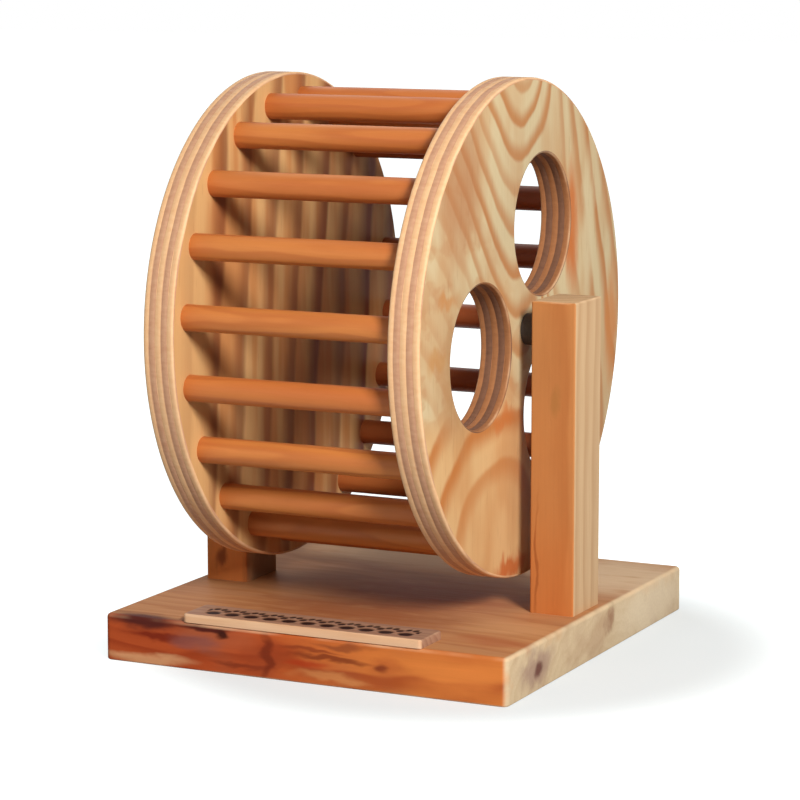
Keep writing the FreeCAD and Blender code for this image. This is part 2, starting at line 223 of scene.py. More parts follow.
# A paler tone along the middle of each softened edge, broken up by noise. The mesh says where its
# edges are.
pale_arris, given, wanted = new_group(
    "pale_arris", {"Place": (0.0, 0.0, 0.0), "Edge": 0.0}, ("Mask",))
tree = pale_arris
breaks = ease(tree, mottle(tree, given["Place"], (0.05, 0.1, 0.1), 2.0), 0.3, 0.75)
tree.links.new(work_out(tree, "MULTIPLY", given["Edge"], breaks), wanted["Mask"])


def new_wood(name, along="X"):
    """Starts a wood material. Returns its parts: places are in millimetres, grain first."""
    material = bpy.data.materials.new(name)
    material.use_nodes = True
    tree = material.node_tree
    coordinates = tree.nodes.new("ShaderNodeTexCoord")
    place = work_out_vector(tree, "SCALE", coordinates.outputs["Object"])
    place.node.inputs["Scale"].default_value = 1 / MM
    split = tree.nodes.new("ShaderNodeSeparateXYZ")
    tree.links.new(place, split.inputs[0])
    x, y, z = split.outputs
    if along == "Z":
        turned = tree.nodes.new("ShaderNodeCombineXYZ")
        for socket, value in zip(turned.inputs, (z, x, y)):
            tree.links.new(value, socket)
        return material, tree, turned.outputs[0], (x, y, z)
    return material, tree, place, (x, y, z)


def finish_wood(tree, colour, fibre, latewood, place, shine=0.06):
    """Oils the wood: a satin surface with the fibres and the latewood standing up a little."""
    shader = tree.nodes["Principled BSDF"]
    edge = tree.nodes.new("ShaderNodeAttribute")
    edge.attribute_name = "edge"
    # Paler along the middle of each softened edge, as far as the mesh's edge attribute says.
    pale_arris_mask = use_group(tree, pale_arris, {"Place": place, "Edge": edge.outputs["Fac"]})["Mask"]
    marked = tint(tree, colour, pale_arris_mask, 0.55, (236, 200, 158))
    feed(tree, shader.inputs["Base Color"], marked)
    satin = work_out(tree, "MULTIPLY_ADD", fibre, 0.22, 0.42)
    feed(tree, shader.inputs["Roughness"], satin)
    shader.inputs["Specular IOR Level"].default_value = shine
    bump = tree.nodes.new("ShaderNodeBump")
    bump.inputs["Strength"].default_value = 0.35
    bump.inputs["Distance"].default_value = 0.12 * MM
    height = work_out(tree, "MULTIPLY_ADD", latewood, 0.6, fibre)
    feed(tree, bump.inputs["Height"], height)
    tree.links.new(bump.outputs["Normal"], shader.inputs["Normal"])


def slab_outline(low, high, corner, inset):
    """The points of a rectangle with round corners, seen from above, moved in by an inset."""
    radius = max(corner - inset, SMALLEST_CORNER)
    points = []
    for quarter, (x, y) in enumerate(((1, 1), (-1, 1), (-1, -1), (1, -1))):
        middle_x = (high[0] - corner) if x > 0 else (low[0] + corner)
        middle_y = (high[1] - corner) if y > 0 else (low[1] + corner)
        for step in range(CORNER_STEPS + 1):
            turn = math.pi / 2 * (quarter + step / CORNER_STEPS)
            points.append((middle_x + radius * math.cos(turn), middle_y + radius * math.sin(turn)))
    return points


def join_rings(bm, rings, closed=True):
    """Skins the space between rings of vertices."""
    faces = []
    for lower, upper in zip(rings, rings[1:]):
        count = len(lower)
        for number in range(count if closed else count - 1):
            following = (number + 1) % count
            corners = (lower[number], lower[following], upper[following], upper[number])
            faces.append(bm.faces.new(corners))
    return faces


def make_slab(low, high, corner, top_round, bottom_round):
    """A block of wood in millimetres, with round corners and softened edges."""
    bm = bmesh.new()
    edge = bm.verts.layers.float.new("edge")
    levels = []
    for step in range(ROUND_STEPS + 1):
        turn = math.pi / 2 * step / ROUND_STEPS
        inset = bottom_round * (1 - math.sin(turn))
        levels.append((inset, low[2] + bottom_round * (1 - math.cos(turn)), math.sin(2 * turn)))
    for step in range(ROUND_STEPS, -1, -1):
        turn = math.pi / 2 * step / ROUND_STEPS
        inset = top_round * (1 - math.sin(turn))
        levels.append((inset, high[2] - top_round * (1 - math.cos(turn)), math.sin(2 * turn)))
    rings = []
    for inset, level, marked in levels:
        ring = []
        for x, y in slab_outline(low, high, corner, inset):
            vertex = bm.verts.new((x * MM, y * MM, level * MM))
            vertex[edge] = max(marked, 0)
            ring.append(vertex)
        rings.append(ring)
    join_rings(bm, rings)
    bm.faces.new(rings[0])
    bm.faces.new(rings[-1])
    return bm


def put_in_place(bm, name, body, replaced, materials):
    """Turns a finished mesh into a piece that stands for CAD nodes and moves with their body."""
    bmesh.ops.recalc_face_normals(bm, faces=bm.faces)
    mesh = bpy.data.meshes.new(name)
    bm.to_mesh(mesh)
    bm.free()
    for material in materials:
        mesh.materials.append(material)
    mesh.shade_smooth()
    mesh.set_sharp_from_angle(angle=math.radians(SHARP_EDGE))
    piece = bpy.data.objects.new(name, mesh)
    bpy.context.scene.collection.objects.link(piece)
    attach(piece, body)
    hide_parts(*replaced)


def corners_of(node):
    """The lowest and highest corner of a CAD node, in millimetres."""
    low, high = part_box(node)
    return low / MM, high / MM


def stain(tree, place, colour, marks):
    """Lays knots, stains and streaks over the wood, one after another."""
    for what, middle, reach, ragged, strength, tone in marks:
        mark = use_group(tree, wood_patch, {
            "Place": place, "Middle": middle, "Reach": reach, "Ragged": ragged})["Mask"]
        mark.node.label = what
        colour = tint(tree, colour, mark, strength, tone)
    return colour


low, high = corners_of("base_board")
FRONT, END, TOP = low[1], high[0], high[2]

board_oiled, tree, place, (x, y, z) = new_wood("board_oiled")
rings = use_group(tree, growth_rings, {
    "Place": place, "Heart": (0, 8, -46), "Ring Width": 5.4, "Wander": 22})
fibres = use_group(tree, wood_fibres, {"Place": place, "Fineness": 0.6})
ring_depth = work_out(tree, "MULTIPLY_ADD", rings["Tone"], 0.5, 0.3)
share = work_out(tree, "MULTIPLY", rings["Latewood"], ring_depth)
on_top = tint(tree, paint(192, 136, 90), share, 0.6, (164, 100, 58))
# The front edge is darker and redder and the right end paler than the top. This is partly the
# wood's own faces, with end grain at the right, and partly painted light: dim and warm at the
# front, bright from the right.
front_tone = blend(tree, ease(tree, x, -30, 50), paint(186, 82, 42), paint(216, 126, 60))
on_front = blend(tree, share, front_tone, paint(156, 60, 30))
on_end = tint(tree, paint(216, 193, 156), share, 0.35, (190, 158, 118))
colour = blend(tree, ease(tree, y, FRONT + 2.6, FRONT + 0.6), on_top, on_front)
colour = blend(tree, ease(tree, x, END - 2.3, END - 0.5), colour, on_end)
grey = mottle(tree, place, (0.02, 0.05, 0.05))
colour = tint(tree, colour, ease(tree, grey, 0.5, 0.7), 0.3, (160, 112, 84))
BOARD_MARKS = (
    # what, middle, reach, raggedness, strength, colour
    # Partly a stain, partly painted shade where the plate's front edge overhangs the board's top
    # left edge.
    ("purple stain and painted shade, top left", (-67, FRONT, 16.6), (20, 8, 4.6), 0.8, 0.95, (68, 28, 30)),
    ("red streak below it", (-58, FRONT, 11), (16, 6, 1.8), 0.7, 0.9, (120, 36, 22)),
    ("dark streak in the middle", (12, FRONT, 10), (20, 4, 1.2), 0.8, 0.75, (112, 44, 26)),
    ("dark streak low in the middle", (-24, FRONT, 5), (14, 4, 1.2), 0.7, 0.7, (124, 50, 30)),
    # Painted shade on the board's front under the end of the plate.
    ("painted shade under the plate's end", (-40, FRONT, 16.6), (14, 4, 1.3), 0.5, 0.95, (66, 22, 24)),
    ("black blob", (-33, FRONT, 15), (3.6, 4, 2.0), 0.5, 0.95, (40, 14, 16)),
    ("grey-purple patch", (-43, FRONT, 10.5), (11, 5, 3.4), 0.8, 0.7, (140, 84, 78)),
    ("upright knot streak", (-14.5, FRONT, 9), (2.6, 5, 9), 0.5, 0.9, (98, 32, 18)),
    ("halo round the streak", (-16, FRONT, 8), (9, 5, 9), 0.7, 0.4, (150, 62, 36)),
    ("red heart of the arcs", (3, FRONT, 7), (12, 4, 1.6), 0.6, 0.8, (176, 60, 28)),
    ("dark arc over it", (3, FRONT, 12.4), (14, 4, 1.0), 0.6, 0.7, (126, 52, 30)),
    ("arch to the small knot", (17, FRONT, 15.4), (15, 4, 1.5), 0.7, 0.7, (132, 66, 40)),
    ("small dark knot", (34, FRONT, 9.0), (3.6, 4, 1.6), 0.35, 0.95, (70, 22, 22)),
    ("halo round the small knot", (36, FRONT, 9.5), (9, 4, 3.6), 0.7, 0.5, (176, 84, 44)),
    ("pale wood, lower left", (-66, FRONT, 2.6), (22, 5, 2.2), 0.6, 0.75, (232, 176, 126)),
    ("pale wood, middle", (14, FRONT, 3), (16, 5, 2.0), 0.7, 0.5, (230, 160, 96)),
    ("orange wood, right", (64, FRONT, 8), (22, 5, 7), 0.8, 0.6, (226, 134, 66)),
    ("pale wood, back of the right end", (END, 58, 9), (8, 40, 12), 0.6, 0.7, (236, 218, 186)),
    ("halo round the end knot", (END, -58, 9), (6, 17, 8), 0.7, 0.65, (150, 118, 108)),
    ("knot in the right end", (END, -56, 8), (5, 4.0, 3.0), 0.4, 0.9, (98, 58, 52)),
    ("streak at the right end", (END, 14, 12), (7, 6, 6), 0.8, 0.7, (140, 92, 66)),
    ("reddish patch, front right", (68, -62, TOP), (20, 9, 3), 0.9, 0.7, (172, 100, 64)),
    ("pale wood, right", (66, -40, TOP), (26, 14, 4), 0.8, 0.5, (210, 160, 112)),
    ("pale wood, back right", (64, 60, TOP), (34, 40, 4), 0.8, 0.85, (228, 200, 162)),
    # Painted light: the lit strip of the top behind the wheel.
    ("pale wood, back", (-10, 66, TOP), (70, 30, 4), 0.7, 0.9, (226, 190, 150)),
    # Painted shadow of the wheel on the top, in front of it.
    ("painted shadow of the wheel, middle", (0, -40, TOP), (50, 24, 4), 0.9, 0.7, (146, 76, 38)),
    # Painted shade on the top under the wheel.
    ("painted shade under the wheel", (14, 0, TOP), (44, 30, 4), 0.9, 0.7, (158, 78, 40)),
)
colour = stain(tree, place, colour, BOARD_MARKS)
colour = tint(tree, colour, fibres["Fibre"], 0.22, (120, 62, 32))
finish_wood(tree, colour, fibres["Fibre"], rings["Latewood"], place, shine=0.03)

board = make_slab(low, high, BOARD_CORNER, BOARD_TOP_ROUND, BOARD_FOOT_ROUND)
put_in_place(board, "board", "stand", ["base_board"], [board_oiled])


# ---- The posts ---------------------------------------------------------------------------------
# Two planed softwood battens, oiled, screwed up from the board. Their wide faces are paler, and the
# faces to the front and back are more orange and darker. This is partly the cut across the rings
# and partly painted light: the wide faces lit brightly, the fronts dimly and warmly.

POST_CORNER = 0.8
POST_ROUND = 0.8
POST_FOOT_ROUND = 0.05
POST_FRONT = -12.7

post_oiled, tree, place, (x, y, z) = new_wood("post_oiled", along="Z")
rings = use_group(tree, growth_rings, {
    "Place": place, "Heart": (0, 34, 60), "Ring Width": 6.5, "Wander": 9})
fibres = use_group(tree, wood_fibres, {"Place": place, "Fineness": 0.7})
share = work_out(tree, "MULTIPLY", rings["Latewood"], 0.55)
# Front and back faces take the darker, more orange tone: partly the cut of the wood, partly painted
# light.
to_front = ease(tree, work_out(tree, "ABSOLUTE", y), 12.1, 12.6)
warm = blend(tree, share, paint(194, 129, 75), paint(174, 104, 56))
pale = blend(tree, share, paint(214, 180, 138), paint(190, 148, 106))
colour = blend(tree, to_front, pale, warm)
low_down = work_out(tree, "MULTIPLY", ease(tree, z, 70, 20), to_front)
colour = tint(tree, colour, low_down, 0.5, (212, 118, 56))
POST_MARKS = (
    # what, middle (height first, then x and y), reach, raggedness, strength, colour
    ("olive mark", (100, 72, POST_FRONT), (7, 2.5, 2.5), 0.6, 0.5, (158, 110, 58)),
    ("dark line", (39, 64, POST_FRONT), (26, 0.9, 3), 0.6, 0.6, (150, 78, 38)),
    ("orange foot of the left post", (20, -70, POST_FRONT), (30, 16, 4), 0.6, 0.8, (214, 128, 68)),
    # Painted shade on the side of the left post's foot, where the wheel shades it.
    ("painted shade on the side of its foot", (16, -61.2, 2), (26, 3, 18), 0.6, 0.7, (112, 62, 38)),
    ("knot in the left post", (27, -72, POST_FRONT), (4.2, 3.2, 4), 0.6, 0.8, (112, 50, 26)),
)
colour = stain(tree, place, colour, POST_MARKS)
colour = tint(tree, colour, fibres["Fibre"], 0.22, (140, 84, 46))
finish_wood(tree, colour, fibres["Fibre"], rings["Latewood"], place)

for name in ("post_left", "post_right"):
    low, high = corners_of(name)
    batten = make_slab(low, high, POST_CORNER, POST_ROUND, POST_FOOT_ROUND)
    put_in_place(batten, f"{name}_batten", "stand", [name], [post_oiled])


# ---- The discs ---------------------------------------------------------------------------------
# Two rounds of five-ply softwood plywood with a bold, wide grain on their faces, sawn out and
# sanded. The right one has three round windows. Their rims and window walls show the plies.

PLIES = 5
GLUE_GROOVE = 0.07
GLUE_WIDTH = 0.16
DISC_ROUND = 1.0
WINDOW_ROUND = 0.8
WINDOW_RADIUS = 27.0
WINDOW_REACH = 41.7
WINDOW_START = 68
WINDOW_COUNT = 3
RIM_SEGMENTS = 256
WINDOW_SEGMENTS = 128
SEAT_SEGMENTS = 48
SEAT_CLEARANCE = 0.03

AXLE_Z = frame["joints"][0]["pos_m"][2] / MM
right_low, right_high = corners_of("disc_right")
left_low, left_high = corners_of("disc_left")
FACE = right_high[0]

# Growth bands across a veneer: each rises slowly, falls faster and has a depth of its own.
veneer_bands, given, wanted = new_group(
    "veneer_bands", {"Across": 0.0, "Width": 10.0}, ("Latewood",))
tree = veneer_bands
ring = work_out(tree, "DIVIDE", given["Across"], given["Width"])
part_way = work_out(tree, "FRACT", ring)
rise = ease(tree, part_way, 0.3, 0.8)
fall = ease(tree, part_way, 1.0, 0.84)
chance = tree.nodes.new("ShaderNodeTexWhiteNoise")
chance.noise_dimensions = "1D"
feed(tree, chance.inputs["W"], work_out(tree, "FLOOR", ring))
band_depth = work_out(tree, "MULTIPLY_ADD", chance.outputs["Value"], 0.4, 0.6)
late = work_out(tree, "MULTIPLY", rise, fall)
tree.links.new(work_out(tree, "MULTIPLY", late, band_depth), wanted["Latewood"])

# How far the bands of a veneer waver to either side, in millimetres.
veneer_waver, given, wanted = new_group("veneer_waver", {"Place": (0.0, 0.0, 0.0)}, ("Waver",))
tree = veneer_waver
slow = sway(tree, given["Place"], (0.012, 0.03, 0.03), 1.0)
quick = sway(tree, given["Place"], (0.05, 0.12, 0.12))
waver = work_out(tree, "MULTIPLY_ADD", slow, 11, work_out(tree, "MULTIPLY", quick, 2.2))
tree.links.new(waver, wanted["Waver"])

# The plies of either disc on a sawn edge: which are cut across, the glue lines and a fine grain.
ply_stack, given, wanted = new_group(
    "ply_stack", {"Place": (0.0, 0.0, 0.0), "Across": 0.0}, ("Crossed", "Glue", "Fine"))
tree = ply_stack
on_right = work_out(tree, "GREATER_THAN", given["Across"], 0)
start = work_out(tree, "MULTIPLY_ADD", on_right, right_low[0] - left_low[0], left_low[0])
depth = work_out(tree, "SUBTRACT", given["Across"], start)
depth = work_out(tree, "MULTIPLY_ADD", sway(tree, given["Place"], (0.05, 0.02, 0.05)), 1.2, depth)
ply = work_out(tree, "DIVIDE", depth, (right_high[0] - right_low[0]) / PLIES)
tree.links.new(work_out(tree, "MODULO", work_out(tree, "FLOOR", ply), 2), wanted["Crossed"])
from_middle = work_out(tree, "SUBTRACT", work_out(tree, "FRACT", ply), 0.5)
from_middle = work_out(tree, "ABSOLUTE", from_middle)
tree.links.new(ease(tree, from_middle, 0.42, 0.5), wanted["Glue"])
tree.links.new(mottle(tree, given["Place"], (0.7, 0.3, 0.7), 4.0), wanted["Fine"])


def spread_bands(tree, across, width):
    """The growth bands of one veneer, from how far across it each place lies."""
    return use_group(tree, veneer_bands, {"Across": across, "Width": width})["Latewood"]


def start_veneer(name):
    """Starts a face veneer. Returns its parts and the waver of its bands."""
    material, tree, place, (x, y, z) = new_wood(name, along="Z")
    waver = use_group(tree, veneer_waver, {"Place": place})["Waver"]
    return material, tree, place, y, z, waver


def finish_veneer(tree, place, colour, late):
    """Adds the fibres and flecks of a veneer and oils it."""
    fibres = use_group(tree, wood_fibres, {"Place": place, "Fineness": 0.7})
    colour = tint(tree, colour, fibres["Fleck"], 0.16, (150, 100, 60))
    colour = tint(tree, colour, fibres["Fibre"], 0.14, (150, 104, 64))
    finish_wood(tree, colour, fibres["Fibre"], late, place)


# The outer face of the windowed disc. Nested arches open upwards at its top; to the right of them
# the grain fans out downwards, to the left it leans, and low on the left it arches over.
windowed_face, tree, place, y, z, waver = start_veneer("plywood_windowed_face")
down = work_out(tree, "SUBTRACT", 225, z)
across = work_out(tree, "ADD", y, 4)
leaning = work_out(tree, "MULTIPLY_ADD", across, -0.73, work_out(tree, "MULTIPLY", down, 0.68))
fan = work_out(tree, "DIVIDE", across, work_out(tree, "MULTIPLY_ADD", down, 1 / 160, 1))
under_arches = work_out(tree, "SUBTRACT", down, 10)
under_arches = work_out(tree, "MULTIPLY", under_arches, ease(tree, across, 40, 7))
under_arches = work_out(tree, "MULTIPLY_ADD", under_arches, 0.73, 6)
fan = work_out(tree, "MULTIPLY_ADD", fan, 1.04, under_arches)
field = work_out(tree, "SMOOTH_MAX", leaning, fan, 25)
fade = work_out(tree, "MULTIPLY_ADD", ease(tree, leaning, 70, 95), -0.6, 1)
field = work_out(tree, "ADD", field, work_out(tree, "ADD", waver, 8.2))
late = work_out(tree, "MULTIPLY", spread_bands(tree, field, 10), fade)
clouds = ease(tree, mottle(tree, place, (0.02, 0.05, 0.05)), 0.4, 0.66)
upper = blend(tree, clouds, paint(210, 190, 149), paint(203, 170, 127))
blotches = ease(tree, mottle(tree, place, (0.09, 0.06, 0.06), 3.0), 0.5, 0.62)
blotches = work_out(tree, "MULTIPLY", blotches, ease(tree, leaning, 55, 80))
upper = tint(tree, upper, blotches, 0.5, (190, 140, 96))
upper = blend(tree, late, upper, paint(184, 124, 74))
low_y = work_out(tree, "MULTIPLY_ADD", y, 0.86, 23)
low_z = work_out(tree, "SUBTRACT", z, 45)
square = work_out(tree, "MULTIPLY_ADD", low_y, low_y, work_out(tree, "MULTIPLY", low_z, low_z))
arch = work_out(tree, "ADD", work_out(tree, "SQRT", square), work_out(tree, "ADD", waver, 1.8))
arches = work_out(tree, "MULTIPLY", spread_bands(tree, arch, 18), ease(tree, arch, 18, 28))
lower = blend(tree, clouds, paint(216, 174, 122), paint(206, 156, 104))
lower = blend(tree, arches, lower, paint(188, 116, 60))
low_left = work_out(tree, "MULTIPLY", ease(tree, z, 108, 90), ease(tree, y, 30, 5))
colour = blend(tree, low_left, upper, lower)
late = work_out(tree, "MAXIMUM", late, work_out(tree, "MULTIPLY", arches, low_left))
FACE_MARKS = (
    # what, middle (height first, then x and y), reach, raggedness, strength, colour
    ("orange wood by the upper window", (160, FACE, 44), (26, 6, 8), 0.8, 0.9, (196, 108, 52)),
    ("pale wood beside it", (160, FACE, 61), (32, 6, 7), 0.8, 0.85, (214, 196, 156)),
    ("orange wood, far right", (118, FACE, 86), (26, 6, 7), 0.8, 0.8, (206, 130, 68)),
    ("browner wood, middle left", (112, FACE, -62), (26, 6, 18), 0.8, 0.7, (180, 138, 94)),
    ("small orange mark, left", (143, FACE, -70), (4, 6, 9), 0.8, 0.6, (196, 128, 66)),
    ("small orange mark below it", (122, FACE, -80), (5, 6, 8), 0.8, 0.5, (190, 130, 66)),
    ("orange streak, lower window", (93, FACE, -20), (5, 6, 12), 0.8, 0.65, (196, 112, 56)),
    ("orange foot", (35, FACE, -14), (5, 6, 16), 0.8, 0.85, (190, 92, 38)),
    ("brown wood, upper left", (188, FACE, -62), (34, 6, 24), 0.8, 0.7, (174, 118, 78)),
)
colour = stain(tree, place, colour, FACE_MARKS)
finish_veneer(tree, place, colour, late)


def straight_face(name, pale, middling, dark, width):
    """A face veneer with straight upright grain in broad bands."""
    material, tree, place, y, z, waver = start_veneer(name)
    field = work_out(tree, "MULTIPLY_ADD", z, -0.1, work_out(tree, "ADD", y, waver))
    field = work_out(tree, "ADD", field, 7)
    late = spread_bands(tree, field, width)
    clouds = ease(tree, mottle(tree, place, (0.01, 0.05, 0.09)), 0.4, 0.62)
    colour = blend(tree, clouds, paint(*pale), paint(*middling))
    colour = blend(tree, late, colour, paint(*dark))
    # Painted light: paler towards the front edge, where the inner face lies lit between the rim and
    # the rung ends. The outer face of the left disc gets the same.
    colour = tint(tree, colour, ease(tree, y, -62, -72), 0.75, pale)
    finish_veneer(tree, place, colour, late)
    return material


# The inner faces have darker, redder bands than the outer face of the same plywood. This is partly
# the wood's own bands, partly painted shade and warm bounce light inside the wheel.
shaded_inner_face = straight_face(
    "plywood_inner_face", (214, 166, 110), (198, 134, 80), (116, 50, 28), 21)
left_outer_face = straight_face(
    "plywood_left_outer_face", (216, 190, 148), (208, 170, 124), (180, 122, 76), 14)


def sawn_plies(name, long_pale, long_dark, end_pale, end_dark):
    """A sawn edge: five plies, every second one cut across its grain and darker."""
    material, tree, place, (x, y, z) = new_wood(name, along="Z")
    plies = use_group(tree, ply_stack, {"Place": place, "Across": x})
    long_grain = blend(tree, plies["Fine"], paint(*long_pale), paint(*long_dark))
    end_grain = blend(tree, plies["Fine"], paint(*end_pale), paint(*end_dark))
    colour = blend(tree, plies["Crossed"], long_grain, end_grain)
    colour = tint(tree, colour, plies["Glue"], 0.5, end_dark)
    finish_wood(tree, colour, plies["Fine"], plies["Glue"], place)
    return material


sawn_rim = sawn_plies(
    "plywood_rim", (238, 198, 152), (222, 168, 120), (214, 170, 136), (186, 132, 100))
sawn_window = sawn_plies(
    "plywood_window", (176, 120, 78), (146, 96, 62), (138, 98, 74), (104, 72, 56))


def edge_profile(low_x, high_x, radius, rounding, side):
    """Across a sawn edge: softened corners, and a fine groove at each glue line."""
    near = []
    for step in range(ROUND_STEPS + 1):
        turn = math.pi / 2 * step / ROUND_STEPS
        inwards = rounding * (1 - math.sin(turn))
        near.append((rounding * (1 - math.cos(turn)), radius - side * inwards, math.sin(2 * turn)))
    points = [(low_x + depth, reach, marked) for depth, reach, marked in near]
    for number in range(1, PLIES):
        line = low_x + (high_x - low_x) * number / PLIES
        points += [(line - GLUE_WIDTH, radius, 0), (line, radius - side * GLUE_GROOVE, 0),
                   (line + GLUE_WIDTH, radius, 0)]
    points += [(high_x - depth, reach, marked) for depth, reach, marked in reversed(near)]
    return points


def turn_rings(bm, profile, middle, segments):
    """Rings of vertices round a line along X, one for each point of a profile."""
    edge = bm.verts.layers.float.get("edge") or bm.verts.layers.float.new("edge")
    rings = []
    for x, radius, marked in profile:
        ring = []
        for number in range(segments):
            turn = 2 * math.pi * number / segments
            y = middle[0] + radius * math.cos(turn)
            z = middle[1] + radius * math.sin(turn)
            vertex = bm.verts.new((x * MM, y * MM, z * MM))
            vertex[edge] = max(marked, 0)
            ring.append(vertex)
        rings.append(ring)
    return rings


def ring_edges(bm, ring):
    """The edges round one ring."""
    return [bm.edges.get((a, b)) for a, b in zip(ring, ring[1:] + ring[:1])]


# The surfaces of a disc, in the order of its materials.
OUTER, INNER, RIM, WALL = range(4)


def make_disc(name, node, outwards, windows):
    """A plywood disc, sawn and drilled: its rim, its windows, and the seat of its bush."""
    low, high = corners_of(node)
    radius = (high[1] - low[1]) / 2
    bm = bmesh.new()
    cuts = [(edge_profile(low[0], high[0], radius, DISC_ROUND, 1), (0, AXLE_Z), RIM_SEGMENTS)]
    for number in range(WINDOW_COUNT if windows else 0):
        turn = math.radians(WINDOW_START + number * 360 / WINDOW_COUNT)
        middle = (WINDOW_REACH * math.cos(turn), AXLE_Z + WINDOW_REACH * math.sin(turn))
        wall = edge_profile(low[0], high[0], WINDOW_RADIUS, WINDOW_ROUND, -1)
        cuts.append((wall, middle, WINDOW_SEGMENTS))
    inner_edges, outer_edges = [], []
    for profile, middle, segments in cuts:
        rings = turn_rings(bm, profile, middle, segments)
        for face in join_rings(bm, rings):
            face.material_index = RIM if segments == RIM_SEGMENTS else WALL
        near, far = ring_edges(bm, rings[0]), ring_edges(bm, rings[-1])
        inner_edges += far if outwards < 0 else near
        outer_edges += near if outwards < 0 else far
    bush_low, bush_high = corners_of(node.replace("disc", "bush"))
    seat_radius = (bush_high[1] - bush_low[1]) / 2 + SEAT_CLEARANCE
    mouth, floor = (low[0], bush_high[0]) if outwards < 0 else (high[0], bush_low[0])
    seat = [(mouth, seat_radius, 0), (floor, seat_radius, 0)]
    rings = turn_rings(bm, seat, (0, AXLE_Z), SEAT_SEGMENTS)
    for face in join_rings(bm, rings) + [bm.faces.new(rings[1])]:
        face.material_index = WALL
    outer_edges += ring_edges(bm, rings[0])
    for edges, index in ((outer_edges, OUTER), (inner_edges, INNER)):
        filled = bmesh.ops.triangle_fill(bm, use_beauty=True, use_dissolve=False, edges=edges)
        for face in filled["geom"]:
            if isinstance(face, bmesh.types.BMFace):
                face.material_index = index
    outer = windowed_face if windows else left_outer_face
    materials = [outer, shaded_inner_face, sawn_rim, sawn_window]
    put_in_place(bm, name, "wheel", [node], materials)


make_disc("plywood_disc_left", "disc_left", -1, windows=False)
make_disc("plywood_disc_right", "disc_right", 1, windows=True)


# ---- The rungs ---------------------------------------------------------------------------------
# Twenty lengths of oiled dowel, glued into blind sockets in both discs. Dowel is never quite
# round or straight, so each one differs a little.

RUNG_COUNT = 20
DOWEL_SEGMENTS = 48
DOWEL_STATIONS = 12
DOWEL_CHAMFER = 0.5
DOWEL_UNEVEN = 0.05
DOWEL_SEED = 20

dowel_oiled, tree, place, (x, y, z) = new_wood("dowel_oiled")
rings = use_group(tree, growth_rings, {
    "Place": place, "Heart": (0, 150, 20), "Ring Width": 2.6, "Wander": 9})
fibres = use_group(tree, wood_fibres, {"Place": place, "Fineness": 1.3})
tints = mottle(tree, place, (0.006, 0.05, 0.05), 1.0)
colour = tint(tree, paint(206, 126, 60), rings["Latewood"], 0.45, (168, 84, 34))
colour = tint(tree, colour, ease(tree, tints, 0.4, 0.65), 0.45, (188, 96, 42))
# Painted shade: the rungs towards the back, inside the wheel behind the right disc, are much
# darker.
painted_shade_back_rungs = ease(tree, y, 20, 60)
colour = tint(tree, colour, painted_shade_back_rungs, 0.7, (112, 38, 18))
# Painted shade: darker towards the left ends, where the rungs meet the left disc.
painted_shade_left_ends = ease(tree, x, -30, -46)
colour = tint(tree, colour, painted_shade_left_ends, 0.3, (170, 86, 38))
colour = tint(tree, colour, fibres["Fibre"], 0.2, (150, 76, 32))
finish_wood(tree, colour, fibres["Fibre"], rings["Latewood"], place, shine=0.4)

chances = random.Random(DOWEL_SEED)
for number in range(1, RUNG_COUNT + 1):
    node = f"rung_{number:02d}"
    low, high = corners_of(node)
    middle = ((low[1] + high[1]) / 2, (low[2] + high[2]) / 2)
    radius = (high[1] - low[1]) / 2
    profile = [(low[0], radius - DOWEL_CHAMFER, 0)]
    for station in range(DOWEL_STATIONS + 1):
        along = station / DOWEL_STATIONS
        place_x = low[0] + DOWEL_CHAMFER + (high[0] - low[0] - 2 * DOWEL_CHAMFER) * along
        profile.append((place_x, radius - chances.uniform(0, DOWEL_UNEVEN), 0))
    profile.append((high[0], radius - DOWEL_CHAMFER, 0))
    bm = bmesh.new()
    rings = turn_rings(bm, profile, middle, DOWEL_SEGMENTS)
    join_rings(bm, rings)
    bm.faces.new(rings[0])
    bm.faces.new(rings[-1])
    put_in_place(bm, f"dowel_{number:02d}", "wheel", [node], [dowel_oiled])


# ---- The axles, bushes, spacers and screws -----------------------------------------------------
# Short steel axles glued into the posts, brass bushes pressed into the discs, dark nylon spacers
# between them, and countersunk zinc-plated screws up through the board. All bought in.

# The fine marks that turning, plating or moulding leaves.
tool_marks, given, wanted = new_group(
    "tool_marks", {"Place": (0.0, 0.0, 0.0), "Stretch": (1.0, 1.0, 1.0)}, ("Marks",))
tree = tool_marks
tree.links.new(mottle(tree, given["Place"], given["Stretch"], 3.0), wanted["Marks"])


def new_turned(name, base, marked, metal, rough, stretch):
    """A material for a turned, plated or moulded part."""
    material = bpy.data.materials.new(name)
    material.use_nodes = True
    tree = material.node_tree
    coordinates = tree.nodes.new("ShaderNodeTexCoord")
    place = work_out_vector(tree, "SCALE", coordinates.outputs["Object"])
    place.node.inputs["Scale"].default_value = 1 / MM
    shader = tree.nodes["Principled BSDF"]
    marks = use_group(tree, tool_marks, {"Place": place, "Stretch": stretch})["Marks"]
    feed(tree, shader.inputs["Base Color"], blend(tree, marks, paint(*base), paint(*marked)))
    feed(tree, shader.inputs["Roughness"], work_out(tree, "MULTIPLY_ADD", marks, 0.3, rough))
    shader.inputs["Metallic"].default_value = metal
    bump = tree.nodes.new("ShaderNodeBump")
    bump.inputs["Strength"].default_value = 0.2
    bump.inputs["Distance"].default_value = 0.03 * MM
    feed(tree, bump.inputs["Height"], marks)
    tree.links.new(bump.outputs["Normal"], shader.inputs["Normal"])
    return material


